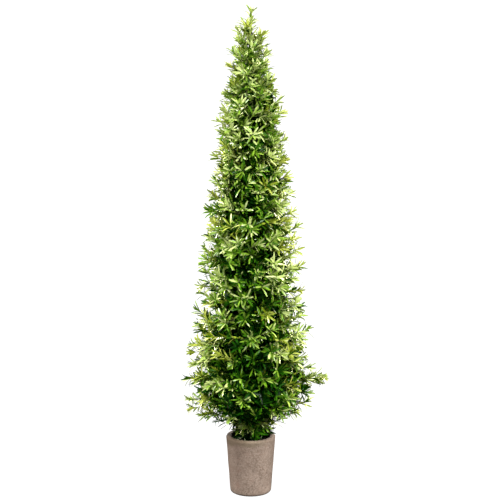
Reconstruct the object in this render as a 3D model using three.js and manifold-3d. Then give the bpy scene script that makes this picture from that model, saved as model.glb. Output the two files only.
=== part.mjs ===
// Potted cone topiary: a tall slim cone of strap-leaved evergreen foliage round one upright trunk,
// set in the dark earth of a tapered pot with a thick rounded rim.
// Millimetres, +Z up. The origin is the centre of the pot's flat underside, and the front is -Y.

import * as THREE from "three";
import { mergeVertices } from "three/addons/utils/BufferGeometryUtils.js";
import Module from "manifold-3d";

const wasm = await Module();
wasm.setup();

// Driving dimensions
const PLANT_HEIGHT = 1524; // floor to the topmost leaf tip
const GAP = 0.3; // between solids that rest on or stand against each other

// Pot
const POT_HEIGHT = 184;
const RIM_RADIUS = 77.5;
const FOOT_RADIUS = 65;
const WALL = 17;
const POT_FLOOR = 15;
const FOOT_ROUND = 7;
const RIM_ROUND = 6;
const POT_SIDES = 32;

// Earth in the pot
const EARTH_BELOW_RIM = 14;
const EARTH_CROWN = 3; // how far the middle of its surface stands over its edge
const EARTH_SIDES = 24;

// Trunk
const TRUNK_TOP = 1424;
const TRUNK_FOOT_RADIUS = 9.5;
const TRUNK_TOP_RADIUS = 3;
const ROOT_FLARE = 4.5; // added to the radius at the cut
const ROOT_FLARE_HEIGHT = 26; // the flare dies away over this height
const TRUNK_SWAY = 4; // the pole's gentle bends to either side
const TRUNK_BENDS = [
  // share of the trunk's length, then shares of the sway along X and Y
  [0, 0, 0],
  [0.03, 0, 0],
  [0.35, 1, 0.5],
  [0.68, -0.5, -0.5],
  [0.86, 0.5, 0],
  [0.96, -1, 0],
  [1, -1, 0],
];
const TRUNK_SIDES = 9;
const TRUNK_STEPS = 32;

// Crown outline: how far the leaf tips reach from the axis, as [height, radius]
const CROWN_OUTLINE = [
  [190, 56],
  [222, 74],
  [240, 105],
  [290, 188],
  [362, 222],
  [460, 197],
  [620, 172],
  [930, 147],
  [1237, 107],
  [1387, 66],
  [1476, 40],
  [PLANT_HEIGHT, 0],
];
const CROWN_FOOT = CROWN_OUTLINE[0][0];
const OUTLINE_SLICES = 600;
const FOLIAGE_OVER_RIM = 3; // the lowest leaves stay this far over the rim

// Growth: the tips rise more steeply towards the top, and droop a little at the skirt
const RISE_AT_FOOT = -8;
const RISE_AT_TOP = 62;
const RISE_POWER = 1.5;
const STEM_LIFT = 16; // a stem leaves the trunk this much steeper than its tips end
const GOLDEN_ANGLE = Math.PI * (3 - Math.sqrt(5));
const SEED = 41;

// Boughs: each carries one mass of foliage
const BOUGH_COUNT = 20;
const BOUGH_LOWEST = 258;
const BOUGH_HIGHEST = 1420;
const FOOT_COUNT = 3; // short boughs round the trunk's foot
const FOOT_HEIGHT = 230;
const FOOT_TURN = Math.PI / 5;
const SITE_SHARE = 0.5; // place of a mass's middle, as a share of the crown's reach
const STEM_SHARE = 0.34; // place of a stem's end, likewise
const STEM_KNEE = 0.6; // share of a stem's climb that is done halfway out
const SPACE_MARGIN = 0.6; // each mass keeps this far inside its own space
const STEM_FOOT_RADIUS = 4.5;
const STEM_TIP_RADIUS = 2.8;
const STEM_SIDES = 5;
const STEM_STEPS = 3;
const LEADER_SITE = 1452;

// Cores: the dense dark inside of each mass
const CORE_SHARE = 0.5; // of the crown's reach
const CORE_INSET = 6;
const CORE_CENTRE = 0.26; // as a share of the crown's reach
const CORE_OFF_TRUNK = 6;
const CORE_LOWEST = 224; // height of the lowest core's foot
const CORE_LEAST = 8; // a core thinner than this is left out
const CORE_STEP = 2;
const CORE_ROUGHNESS = 0.1;

// Twigs and leaves, drawn larger than life because each stands for a spray
const TWIG_COUNT = 118;
const TWIG_HIGHEST = 1486;
const TIP_SHORTFALL = 22; // some leaves end up to this far inside the outline
const SPROUT_LOWEST = 0.5; // twigs sprout from this share of their stem upwards
const LONG_SPRAYS = [
  // the few that stand out past the outline: height, azimuth and reach
  [365, 0, 243],
  [282, 0.92 * Math.PI, 212],
];
const TWIG_FOOT_RADIUS = 2.8;
const TWIG_TIP_RADIUS = 2.2;
const LEAVES_PER_TWIG = 4;
const LEAF_TRIES = 6; // turns about the twig that are tried before a leaf is skipped
const LEAF_CLEAR = 0.3; // past this share of its length, a leaf crosses no other
const LEAF_LENGTH = 68;
const LEAF_SHORTEST = 40; // where the crown is narrow
const LEAF_SHARE = 0.6; // of the crown's reach
const LEAF_OF_TWIG = 0.72; // of the way from the stem to the outline
const LEAF_WIDTH = 0.36; // as shares of the leaf's length
const LEAF_THICKNESS = 0.045;
const LEAF_BROADEST = 0.6;
const LEAF_ARCH = 0.06;
const LEAF_SPACING = 8;
const LEAF_INSET = 1.5; // the last leaf starts this far short of the twig's tip
const LEAF_SINK = 1; // the leaf's root lies this far behind the twig's axis
const LEAF_SPREAD_LAST = 5; // angles from the twig, in degrees
const LEAF_SPREAD_NEXT = 48;
const LEAF_SPREAD_STEP = 16;
const LEAF_VARIATION = 0.12;

const { clamp, degToRad, lerp, mapLinear } = THREE.MathUtils;
const UP = new THREE.Vector3(0, 0, 1);

// Repeatable random numbers from 0 to 1
function seededRandom(seed) {
  let state = seed >>> 0;
  return () => {
    state = (Math.imul(state, 1664525) + 1013904223) >>> 0;
    return state / 4294967296;
  };
}

// The plain closed surface of a geometry, with shared corners merged
function closedSurface(geometry) {
  const bare = geometry.clone();
  bare.deleteAttribute("normal");
  bare.deleteAttribute("uv");
  return mergeVertices(bare);
}

function solidFrom(geometry) {
  const surface = closedSurface(geometry);
  const vertProperties = new Float32Array(surface.attributes.position.array);
  const triVerts = new Uint32Array(surface.index.array);
  return new wasm.Manifold(new wasm.Mesh({ numProp: 3, vertProperties, triVerts }));
}

function geometryFrom(solid) {
  const { vertProperties, triVerts } = solid.getMesh();
  const geometry = new THREE.BufferGeometry();
  geometry.setAttribute("position", new THREE.BufferAttribute(vertProperties, 3));
  geometry.setIndex(new THREE.BufferAttribute(triVerts, 1));
  geometry.computeVertexNormals();
  return geometry;
}

// A profile turned about +Z
function turned(points, sides) {
  return new THREE.LatheGeometry(points, sides).rotateX(Math.PI / 2);
}

// A tapering limb: a capped cylinder bent along a curve
function limb(curve, radiusAt, sides, steps) {
  const geometry = new THREE.CylinderGeometry(1, 1, 1, sides, steps);
  const frames = curve.computeFrenetFrames(steps);
  const position = geometry.attributes.position;
  const vertex = new THREE.Vector3();
  for (let i = 0; i < position.count; i++) {
    vertex.fromBufferAttribute(position, i);
    const step = Math.round((vertex.y + 0.5) * steps);
    const radius = radiusAt(step / steps);
    const place = curve.getPointAt(step / steps);
    place.addScaledVector(frames.normals[step], vertex.x * radius);
    place.addScaledVector(frames.binormals[step], -vertex.z * radius);
    position.setXYZ(i, place.x, place.y, place.z);
  }
  return geometry;
}

// Crown outline and growth by height
function crownReach(height) {
  for (let i = 1; i < CROWN_OUTLINE.length; i++) {
    const [low, lowReach] = CROWN_OUTLINE[i - 1];
    const [high, highReach] = CROWN_OUTLINE[i];
    if (height >= low && height <= high) return mapLinear(height, low, high, lowReach, highReach);
  }
  return 0;
}

function riseAt(height) {
  const share = mapLinear(height, CROWN_FOOT, PLANT_HEIGHT, 0, 1);
  return degToRad(lerp(RISE_AT_FOOT, RISE_AT_TOP, share ** RISE_POWER));
}

function outward(azimuth) {
  return new THREE.Vector3(Math.cos(azimuth), Math.sin(azimuth), 0);
}

// Leaves are shorter where the crown is narrow
function leafLength(height) {
  return clamp(LEAF_SHARE * crownReach(height), LEAF_SHORTEST, LEAF_LENGTH);
}

// Heights that cut the crown's surface into equal shares, measured in leaves
function evenHeights(count, lowest, highest) {
  const step = (highest - lowest) / OUTLINE_SLICES;
  const area = [0];
  for (let i = 0; i < OUTLINE_SLICES; i++) {
    const height = lowest + (i + 0.5) * step;
    area.push(area[i] + crownReach(height) / leafLength(height) ** 2);
  }
  return Array.from({ length: count }, (_, i) => {
    const share = ((i + 0.5) / count) * area[OUTLINE_SLICES];
    return lowest + (area.findIndex((sum) => sum >= share) - 0.5) * step;
  });
}

// Pot: a thick-walled tapered cup. Each arc draws its own straight line from the point before it
const sideSlope = (RIM_RADIUS - FOOT_RADIUS) / POT_HEIGHT;
const sideLean = Math.atan(sideSlope);
const innerRimRadius = RIM_RADIUS - WALL;

function innerRadius(height) {
  return innerRimRadius - (POT_HEIGHT - height) * sideSlope;
}

function potGeometry() {
  const profile = new THREE.Path();
  const footCentre = FOOT_RADIUS - FOOT_ROUND;
  const rimCentre = POT_HEIGHT - RIM_ROUND;
  profile.moveTo(0, 0);
  profile.lineTo(footCentre / 2, 0);
  profile.absarc(footCentre, FOOT_ROUND, FOOT_ROUND, -Math.PI / 2, -sideLean);
  profile.absarc(RIM_RADIUS - RIM_ROUND, rimCentre, RIM_ROUND, -sideLean, Math.PI / 2);
  profile.absarc(innerRimRadius + RIM_ROUND, rimCentre, RIM_ROUND, Math.PI / 2, Math.PI - sideLean);
  profile.lineTo(innerRadius(POT_FLOOR), POT_FLOOR);
  profile.lineTo(0, POT_FLOOR);
  return turned(profile.getPoints(2), POT_SIDES);
}

// Earth: fills the pot to a little below the rim, with a slightly crowned surface
const earthLevel = POT_HEIGHT - EARTH_BELOW_RIM;

function earthGeometry() {
  const crownStart = 0.5 * innerRimRadius;
  const profile = [
    new THREE.Vector2(0, POT_FLOOR + GAP),
    new THREE.Vector2(innerRadius(POT_FLOOR) - GAP, POT_FLOOR + GAP),
    new THREE.Vector2(innerRadius(earthLevel) - GAP, earthLevel),
    new THREE.Vector2(crownStart, earthLevel + EARTH_CROWN),
    new THREE.Vector2(0, earthLevel + EARTH_CROWN),
  ];
  return turned(profile, EARTH_SIDES);
}

// Trunk: one pole from its flat cut on the earth to its tip under the leader
const trunkFoot = earthLevel + EARTH_CROWN + GAP;
const trunkLength = TRUNK_TOP - trunkFoot;
const trunkCurve = new THREE.CatmullRomCurve3(
  TRUNK_BENDS.map(([share, x, y]) => {
    return new THREE.Vector3(x * TRUNK_SWAY, y * TRUNK_SWAY, trunkFoot + share * trunkLength);
  }),
);

function trunkRadius(share) {
  const flare = ROOT_FLARE * Math.exp((-3 * share * trunkLength) / ROOT_FLARE_HEIGHT);
  return lerp(TRUNK_FOOT_RADIUS, TRUNK_TOP_RADIUS, share) + flare;
}

function trunkGeometry(allowance) {
  return limb(trunkCurve, (share) => trunkRadius(share) + allowance, TRUNK_SIDES, TRUNK_STEPS);
}

function trunkShare(height) {
  return clamp((height - trunkFoot) / trunkLength, 0, 1);
}

const trunkSleeve = solidFrom(trunkGeometry(GAP));

// Boughs: short ones round the trunk's foot, then a golden-angle spiral up the trunk, then the leader
function makeBough(name, height, azimuth, seed) {
  const reach = crownReach(height);
  const out = outward(azimuth);
  const stemEnd = out.clone().multiplyScalar(STEM_SHARE * reach).setZ(height);
  const drop = STEM_SHARE * reach * Math.tan(riseAt(height) + degToRad(STEM_LIFT));
  const rootHeight = Math.max(height - drop, POT_HEIGHT + FOLIAGE_OVER_RIM + STEM_FOOT_RADIUS);
  const root = trunkCurve.getPointAt(trunkShare(rootHeight));
  const knee = out.clone().multiplyScalar((STEM_SHARE * reach) / 2).setZ(lerp(root.z, height, STEM_KNEE));
  return {
    name,
    site: out.clone().multiplyScalar(SITE_SHARE * reach).setZ(height),
    stem: new THREE.QuadraticBezierCurve3(root, knee, stemEnd),
    stemRadius: (share) => lerp(STEM_FOOT_RADIUS, STEM_TIP_RADIUS, share),
    core: out.clone().multiplyScalar(CORE_CENTRE * reach).setZ(height),
    random: seededRandom(seed),
    twigs: [],
    blades: [],
  };
}

function makeLeader() {
  const foot = trunkCurve.getPointAt(1).addScaledVector(UP, GAP);
  const site = new THREE.Vector3(0, 0, LEADER_SITE);
  const knee = foot.clone().setZ(lerp(foot.z, site.z, STEM_KNEE));
  return {
    name: "foliage_leader",
    site,
    stem: new THREE.QuadraticBezierCurve3(foot, knee, site),
    stemRadius: (share) => lerp(TRUNK_TOP_RADIUS, TWIG_TIP_RADIUS, share),
    core: null,
    random: seededRandom(SEED),
    twigs: [],
    blades: [],
  };
}

const feet = Array.from({ length: FOOT_COUNT }, (_, i) => {
  const azimuth = FOOT_TURN + (i * 2 * Math.PI) / FOOT_COUNT;
  return makeBough(`foliage_foot_${i + 1}`, FOOT_HEIGHT, azimuth, SEED - i - 1);
});
const boughs = evenHeights(BOUGH_COUNT, BOUGH_LOWEST, BOUGH_HIGHEST).map((height, i) => {
  const name = `foliage_${String(i + 1).padStart(2, "0")}`;
  return makeBough(name, height, i * GOLDEN_ANGLE, SEED + i + 1);
});
const leader = makeLeader();
const growths = [...feet, ...boughs, leader];

// Twigs: each runs straight from its stem towards the place that its last leaf's tip reaches
function addTwig(growth, reached, longestLeaf, sprout) {
  const start = growth.stem.getPointAt(sprout);
  const heading = reached.clone().sub(start);
  const distance = heading.length();
  heading.normalize();
  const leaf = Math.min(longestLeaf, LEAF_OF_TWIG * distance);
  const length = distance - leaf + LEAF_SINK + LEAF_INSET;
  growth.twigs.push({ start, heading, length, leaf });
}

// Each tip is handed to the growth whose middle is nearest
function growTip(height, azimuth, reach, sprout) {
  const out = outward(azimuth);
  const reached = out.clone().multiplyScalar(reach).setZ(height);
  const middle = out.clone().multiplyScalar(SITE_SHARE * reach).setZ(height);
  const distance = (growth) => growth.site.distanceTo(middle);
  const owner = growths.reduce((best, growth) => (distance(growth) < distance(best) ? growth : best));
  addTwig(owner, reached, leafLength(height), sprout);
}

// The tips lie on a finer spiral, with the leader's above them and the long sprays among them
const tipRandom = seededRandom(SEED);
addTwig(leader, new THREE.Vector3(0, 0, PLANT_HEIGHT), LEAF_SHORTEST, SPROUT_LOWEST);
for (const [height, azimuth, reach] of LONG_SPRAYS) growTip(height, azimuth, reach, 1);
evenHeights(TWIG_COUNT, CROWN_FOOT, TWIG_HIGHEST).forEach((height, i) => {
  const reach = crownReach(height) - TIP_SHORTFALL * tipRandom() ** 2;
  growTip(height, i * GOLDEN_ANGLE, reach, lerp(SPROUT_LOWEST, 1, tipRandom()));
});

// How far a point lies inside a growth's own space, which ends midway to each neighbour
function depthInSpace(point, growth) {
  const depths = growths
    .filter((other) => other !== growth)
    .map((other) => {
      const further = point.distanceToSquared(other.site) - point.distanceToSquared(growth.site);
      return further / (2 * other.site.distanceTo(growth.site));
    });
  return Math.min(...depths);
}

// A piece is kept only where it stays in its space, under the top and clear of the trunk and rim
function fits(geometry, growth) {
  const position = geometry.attributes.position;
  const vertex = new THREE.Vector3();
  for (let i = 0; i < position.count; i++) {
    vertex.fromBufferAttribute(position, i);
    if (vertex.z < POT_HEIGHT + FOLIAGE_OVER_RIM) return false;
    if (vertex.z > PLANT_HEIGHT + SPACE_MARGIN) return false;
    if (depthInSpace(vertex, growth) < SPACE_MARGIN) return false;
  }
  return solidFrom(geometry).intersect(trunkSleeve).isEmpty();
}

// Leaf: an arched blade with a ridge along its upper face, from its root along +Y to its tip
function leafGeometry(length, root) {
  const leaf = new THREE.SphereGeometry(1, 3, 2).rotateY(Math.PI / 2);
  leaf.scale((length * LEAF_WIDTH) / Math.sqrt(3), 1, (length * LEAF_THICKNESS) / 1.5);
  const position = leaf.attributes.position;
  for (let i = 0; i < position.count; i++) {
    const end = Math.round(position.getY(i));
    const along = [root, length * LEAF_BROADEST, length][end + 1];
    const lift = end === 0 ? length * LEAF_ARCH : 0;
    position.setY(i, along);
    position.setZ(i, position.getZ(i) + lift);
  }
  return leaf;
}

// Where a leaf sits on its twig: its root sunk behind the axis, its upper face to the twig's tip
function leafPlace(root, heading, spin, spread) {
  const side = new THREE.Vector3().crossVectors(heading, Math.abs(heading.z) < 0.9 ? UP : outward(0));
  side.normalize().applyAxisAngle(heading, spin);
  const along = heading.clone().multiplyScalar(Math.cos(spread)).addScaledVector(side, Math.sin(spread));
  const face = heading.clone().addScaledVector(along, -heading.dot(along)).normalize();
  const across = new THREE.Vector3().crossVectors(along, face);
  const place = new THREE.Matrix4().makeBasis(across, along, face);
  return place.setPosition(root.clone().addScaledVector(along, -LEAF_SINK));
}

function crosses(blade, growth) {
  return growth.blades.some((other) => !blade.intersect(other).isEmpty());
}

// Each leaf of a twig is turned until it fits and its blade crosses no other leaf, or else skipped
function twigLeaves(twig, growth) {
  const leaves = [];
  const spacing = Math.min(LEAF_SPACING, (twig.length - LEAF_INSET) / LEAVES_PER_TWIG);
  let spin = growth.random() * 2 * Math.PI;
  for (let i = 0; i < LEAVES_PER_TWIG; i++) {
    const last = i === 0;
    const length = twig.leaf * (1 - (last ? 0 : LEAF_VARIATION * growth.random()));
    const spread = last ? LEAF_SPREAD_LAST : LEAF_SPREAD_NEXT + LEAF_SPREAD_STEP * (i - 1);
    const root = twig.start.clone();
    root.addScaledVector(twig.heading, twig.length - LEAF_INSET - spacing * i);
    for (let turn = 0; turn < LEAF_TRIES; turn++) {
      spin += GOLDEN_ANGLE;
      const place = leafPlace(root, twig.heading, spin, degToRad(spread));
      const leaf = leafGeometry(length, 0).applyMatrix4(place);
      const blade = solidFrom(leafGeometry(length, LEAF_CLEAR * length).applyMatrix4(place));
      if (!fits(leaf, growth) || crosses(blade, growth)) continue;
      leaves.push(leaf);
      growth.blades.push(blade);
      break;
    }
  }
  return leaves;
}

function twigLimb(twig) {
  const tip = twig.start.clone().addScaledVector(twig.heading, twig.length);
  const radiusAt = (share) => lerp(TWIG_FOOT_RADIUS, TWIG_TIP_RADIUS, share);
  return limb(new THREE.LineCurve3(twig.start, tip), radiusAt, 3, 1);
}

// Core: a rough lump pushed out from the middle of a mass to the edge of the space it may fill
function coreRadius(height) {
  return CORE_SHARE * crownReach(height) - CORE_INSET;
}

function inCore(point, growth) {
  const share = trunkShare(point.z);
  const offTrunk = Math.hypot(point.x, point.y) - trunkRadius(share) - TRUNK_SWAY;
  const inside = Math.hypot(point.x, point.y) < coreRadius(point.z) && point.z > CORE_LOWEST;
  return inside && offTrunk > CORE_OFF_TRUNK && depthInSpace(point, growth) > SPACE_MARGIN;
}

function coreGeometry(growth) {
  const core = closedSurface(new THREE.IcosahedronGeometry(1, 1));
  const position = core.attributes.position;
  const ray = new THREE.Vector3();
  const point = new THREE.Vector3();
  for (let i = 0; i < position.count; i++) {
    ray.fromBufferAttribute(position, i).normalize();
    let distance = 0;
    do {
      distance += CORE_STEP;
      point.copy(growth.core).addScaledVector(ray, distance);
    } while (inCore(point, growth));
    distance = (distance - CORE_STEP) * (1 - CORE_ROUGHNESS * growth.random());
    point.copy(growth.core).addScaledVector(ray, Math.max(distance, CORE_STEP / 2));
    position.setXYZ(i, point.x, point.y, point.z);
  }
  return core;
}

function hasCore(growth) {
  if (!growth.core) return false;
  const room = coreRadius(growth.core.z) - trunkRadius(trunkShare(growth.core.z)) - CORE_OFF_TRUNK;
  return room > CORE_LEAST && inCore(growth.core, growth);
}

// One mass: stem, core, twigs and leaves fused, cut clear of the trunk, with loose scraps dropped
function foliageGeometry(growth) {
  const pieces = [limb(growth.stem, growth.stemRadius, STEM_SIDES, STEM_STEPS)];
  if (hasCore(growth)) pieces.push(coreGeometry(growth));
  for (const twig of growth.twigs) {
    const wood = twigLimb(twig);
    if (!fits(wood, growth)) continue;
    pieces.push(wood);
    pieces.push(...twigLeaves(twig, growth));
  }
  const fused = pieces.map(solidFrom).reduce((whole, piece) => whole.add(piece));
  const bodies = fused.subtract(trunkSleeve).decompose();
  return geometryFrom(bodies.reduce((best, body) => (body.volume() > best.volume() ? body : best)));
}

// Finishes
const stoneware = new THREE.MeshStandardMaterial({ color: 0x9c8877, roughness: 0.9, metalness: 0 });
const darkEarth = new THREE.MeshStandardMaterial({ color: 0x14100c, roughness: 1, metalness: 0 });
const bark = new THREE.MeshStandardMaterial({ color: 0x4a3f26, roughness: 0.85, metalness: 0 });
const greens = [0x5f8723, 0x7fa636, 0x456b18].map(
  (color) => new THREE.MeshStandardMaterial({ color, roughness: 0.5, metalness: 0 }),
);

// The whole plant
const topiary = new THREE.Group();

function addPart(name, geometry, material) {
  const mesh = new THREE.Mesh(geometry, material);
  mesh.name = name;
  topiary.add(mesh);
}

addPart("pot", potGeometry(), stoneware);
addPart("earth", earthGeometry(), darkEarth);
addPart("trunk", trunkGeometry(0), bark);
growths.forEach((growth, i) => addPart(growth.name, foliageGeometry(growth), greens[i % greens.length]));

export default topiary;
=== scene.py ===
# Frame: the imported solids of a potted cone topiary, in metres, with the pot's underside on z = 0.
# The front is -Y. Every piece below is set round these solids and keeps to their reach.
import math

import bpy
import numpy as np
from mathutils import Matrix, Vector, noise


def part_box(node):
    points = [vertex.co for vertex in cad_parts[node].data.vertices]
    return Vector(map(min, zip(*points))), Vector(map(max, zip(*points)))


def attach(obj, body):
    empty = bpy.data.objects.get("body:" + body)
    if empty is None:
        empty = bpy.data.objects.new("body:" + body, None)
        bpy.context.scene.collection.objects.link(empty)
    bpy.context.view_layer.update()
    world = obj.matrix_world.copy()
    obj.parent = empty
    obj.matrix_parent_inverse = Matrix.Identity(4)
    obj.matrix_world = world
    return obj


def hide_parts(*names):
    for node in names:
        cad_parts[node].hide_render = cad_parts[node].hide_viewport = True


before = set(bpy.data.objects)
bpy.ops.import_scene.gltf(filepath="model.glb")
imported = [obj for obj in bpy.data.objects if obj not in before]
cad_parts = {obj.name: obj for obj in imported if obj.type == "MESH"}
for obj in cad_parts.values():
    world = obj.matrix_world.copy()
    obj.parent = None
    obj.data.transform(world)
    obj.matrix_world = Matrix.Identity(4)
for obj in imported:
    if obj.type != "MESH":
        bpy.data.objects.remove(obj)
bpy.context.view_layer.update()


# Pot: a thick-walled tapered pot of unglazed grey-brown stoneware, turned and then rubbed down.
# The lip is rounded, the foot edge is worn, pits show all over the clay, and the clay is near-black inside
# the rim.
POT_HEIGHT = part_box("pot")[1].z
RIM_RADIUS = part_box("pot")[1].x
FOOT_RADIUS = 0.065
WALL = 0.017
POT_FLOOR = 0.015
FOOT_ROUND = 0.007
RIM_ROUND = 0.006
POT_SIDES = 240
POT_STEP = 0.0018
FLAT_STEP = 0.012
SIDE_SLOPE = (RIM_RADIUS - FOOT_RADIUS) / POT_HEIGHT
SIDE_LEAN = math.atan(SIDE_SLOPE)
INNER_RIM_RADIUS = RIM_RADIUS - WALL
UNEVENNESS = 0.0005
UNEVEN_SCALE = 26
PIT_DEPTH = 0.0011
PIT_SCALE = 150
PIT_FROM = 0.42
CLAY = {
    "dark": (0.148, 0.105, 0.078, 1),
    "pale": (0.238, 0.177, 0.138, 1),
    "rust": (0.185, 0.095, 0.066, 1),
    "grain": (0.33, 0.262, 0.212, 1),
    "bloom": (0.112, 0.088, 0.050, 1),
    # This colour darkens the left side (painted shade, partly a stain), both edges (painted shade) and the
    # foot
    "shade_and_stain": (0.088, 0.056, 0.040, 1),
    "speck": (0.060, 0.043, 0.031, 1),
    "foot": (0.085, 0.062, 0.046, 1),
    "inside": (0.020, 0.014, 0.010, 1),
}
# Patterns in the clay, each with its scale, its low and its high cut-off
CLOUDS = (24, 0.36, 0.64)
GRAINS = (190, 0.40, 0.62)
GRAIN_SHARE = 0.42
RUST = (30, 0.56, 0.72)
RUST_SHARE = 0.5
SPECKS = (260, 0.56, 0.72, 3.0)
BLOOM_FROM = 0.166
BLOOM_FULL = 0.177
BLOOM_RAGGED = 0.012
# Fades, each from one measure to another, with its full share
BLOOM_SIDE = (-0.5, 1.1, 0.95)
# Painted shade on the pot's left side, partly a darker stain in the clay, a little weaker towards the foot
LEFT_SHADE_AND_STAIN = (-0.56, 0.20, 0.58)
LEFT_SHADE_AND_STAIN_HEIGHTS = (0.165, -0.06)
# Painted shade at the pot's right and left edges
PAINTED_EDGE_SHADES = ((1.0, 0.80, 0.24), (-1.0, -0.86, 0.30))
# Darker towards the foot
FOOT_DARKENING = (0.020, 0.100, 0.08)
FOOT_EDGE = (0.001, 0.012)
INSIDE_EDGE = (INNER_RIM_RADIUS - 0.001, INNER_RIM_RADIUS + 0.003)


def line(start, end, step):
    """Points from start towards end, a step apart, without the end itself."""
    count = max(1, round(math.dist(start, end) / step))
    return [tuple(np.add(start, np.subtract(end, start) * i / count)) for i in range(count)]


def arc(centre, radius, first, last, step):
    """Points round part of a circle, a step apart, both ends included."""
    count = max(2, round(abs(last - first) * radius / step))
    turns = np.linspace(first, last, count + 1)
    return [(centre[0] + radius * math.cos(turn), centre[1] + radius * math.sin(turn)) for turn in turns]


def pot_inner_radius(height):
    return INNER_RIM_RADIUS - (POT_HEIGHT - height) * SIDE_SLOPE


def turned(profile, sides):
    """Rings of points from a profile of (radius, height) turned about +Z."""
    turns = np.linspace(0, 2 * math.pi, sides, endpoint=False)
    radii, heights = np.array(profile).T
    east = np.outer(radii, np.cos(turns))
    north = np.outer(radii, np.sin(turns))
    return np.stack([east, north, np.repeat(heights[:, None], sides, axis=1)], axis=2)


def skin(name, rings):
    """A closed piece stretched over rings of points, with a pole in the middle of the first and the last."""
    count, sides = rings.shape[:2]
    points = np.vstack([rings.reshape(-1, 3), rings[0].mean(axis=0), rings[-1].mean(axis=0)])
    first_pole = count * sides
    faces = []
    for side in range(sides):
        ahead = (side + 1) % sides
        faces.append((first_pole, ahead, side))
        for low in range(0, (count - 1) * sides, sides):
            faces.append((low + side, low + ahead, low + sides + ahead, low + sides + side))
        faces.append((first_pole + 1, (count - 1) * sides + side, (count - 1) * sides + ahead))
    mesh = bpy.data.meshes.new(name)
    mesh.from_pydata(points.tolist(), [], faces)
    mesh.polygons.foreach_set("use_smooth", [True] * len(faces))
    piece = bpy.data.objects.new(name, mesh)
    bpy.context.scene.collection.objects.link(piece)
    return piece


def add_node(tree, kind, sockets=None, **options):
    """One node of a tree: its options, then its sockets, each given a value or linked to another socket."""
    made = tree.nodes.new(kind)
    for option, value in options.items():
        setattr(made, option, value)
    for socket, value in (sockets or {}).items():
        if isinstance(value, bpy.types.NodeSocket):
            tree.links.new(value, made.inputs[socket])
        else:
            made.inputs[socket].default_value = value
    return made


def new_finish(name, **sockets):
    """A material with one shader, and the values that are the same all over it."""
    finish = bpy.data.materials.new(name)
    finish.use_nodes = True
    shader = finish.node_tree.nodes["Principled BSDF"]
    for socket, value in sockets.items():
        shader.inputs[socket.replace("_", " ")].default_value = value
    return finish


def mottle(tree, place, scale, low, high, detail=4.0):
    """A soft noise pattern as a share from 0 to 1, cut off under low and over high."""
    pattern = add_node(
        tree, "ShaderNodeTexNoise", {"Vector": place, "Scale": scale, "Detail": detail, "Roughness": 0.6}
    )
    spread = {"Value": pattern.outputs["Fac"], "From Min": low, "From Max": high}
    return add_node(tree, "ShaderNodeMapRange", spread).outputs["Result"]


def blend_colours(tree, share, first, second):
    """The colour between two others, each a colour or a socket."""
    sockets = {0: share, 6: first, 7: second}
    return add_node(tree, "ShaderNodeMix", sockets, data_type="RGBA").outputs[2]


def faded(tree, measure, first, last, share=1.0):
    """A share that fades to nothing as a measure goes from first to last."""
    edges = {"Value": measure, "From Min": first, "From Max": last, "To Min": share, "To Max": 0.0}
    return add_node(tree, "ShaderNodeMapRange", edges).outputs["Result"]


def times(tree, first, second):
    return add_node(tree, "ShaderNodeMath", {0: first, 1: second}, operation="MULTIPLY").outputs[0]


def coat(finish, colour, **relief):
    """Links a colour to a finish's shader, and a fine relief where one is given."""
    tree = finish.node_tree
    shader = tree.nodes["Principled BSDF"]
    tree.links.new(colour, shader.inputs["Base Color"])
    if relief:
        bump = add_node(tree, "ShaderNodeBump", relief)
        tree.links.new(bump.outputs["Normal"], shader.inputs["Normal"])


def stoneware_finish():
    """Clouded clay, with each layer of rust, grain, bloom, painted shade and stain, darkening towards the
    foot, specks, a dark foot edge and the near-black inside laid over the one before.
    """
    finish = new_finish("stoneware", Roughness=0.92, Specular_IOR_Level=0.25)
    tree = finish.node_tree
    place = add_node(tree, "ShaderNodeTexCoord").outputs["Object"]
    sides = add_node(tree, "ShaderNodeSeparateXYZ", {0: place})
    east = sides.outputs["X"]
    height = sides.outputs["Z"]
    level = add_node(tree, "ShaderNodeCombineXYZ", {"X": east, "Y": sides.outputs["Y"]}).outputs[0]
    radius = add_node(tree, "ShaderNodeVectorMath", {0: level}, operation="LENGTH").outputs["Value"]
    turn = add_node(tree, "ShaderNodeMath", {0: east, 1: radius}, operation="DIVIDE").outputs[0]
    clouds = mottle(tree, place, *CLOUDS)
    grains = mottle(tree, place, *GRAINS)
    raised = {0: clouds, 1: BLOOM_RAGGED, 2: height}
    ragged = add_node(tree, "ShaderNodeMath", raised, operation="MULTIPLY_ADD").outputs[0]
    bloom_edges = {"Value": ragged, "From Min": BLOOM_FROM, "From Max": BLOOM_FULL}
    bloom = add_node(tree, "ShaderNodeMapRange", bloom_edges).outputs["Result"]
    # Painted shade on the left side, partly a stain, painted shade at both edges, and darkening towards the
    # foot
    shades_and_stains = [times(tree, faded(tree, turn, *LEFT_SHADE_AND_STAIN), faded(tree, height, *LEFT_SHADE_AND_STAIN_HEIGHTS))]
    shades_and_stains += [faded(tree, turn, *shade_and_stain) for shade_and_stain in PAINTED_EDGE_SHADES]
    shades_and_stains.append(faded(tree, height, *FOOT_DARKENING))
    layers = [
        (times(tree, mottle(tree, place, *RUST), RUST_SHARE), "rust"),
        (times(tree, grains, GRAIN_SHARE), "grain"),
        (times(tree, bloom, faded(tree, turn, *BLOOM_SIDE)), "bloom"),
        *[(shade_and_stain, "shade_and_stain") for shade_and_stain in shades_and_stains],
        (mottle(tree, place, *SPECKS), "speck"),
        (faded(tree, height, *FOOT_EDGE), "foot"),
        (faded(tree, radius, *INSIDE_EDGE), "inside"),
    ]
    clay = blend_colours(tree, clouds, CLAY["dark"], CLAY["pale"])
    for share, colour in layers:
        clay = blend_colours(tree, share, clay, CLAY[colour])
    coat(finish, clay, Strength=0.5, Distance=0.0006, Height=grains)
    return finish


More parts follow.
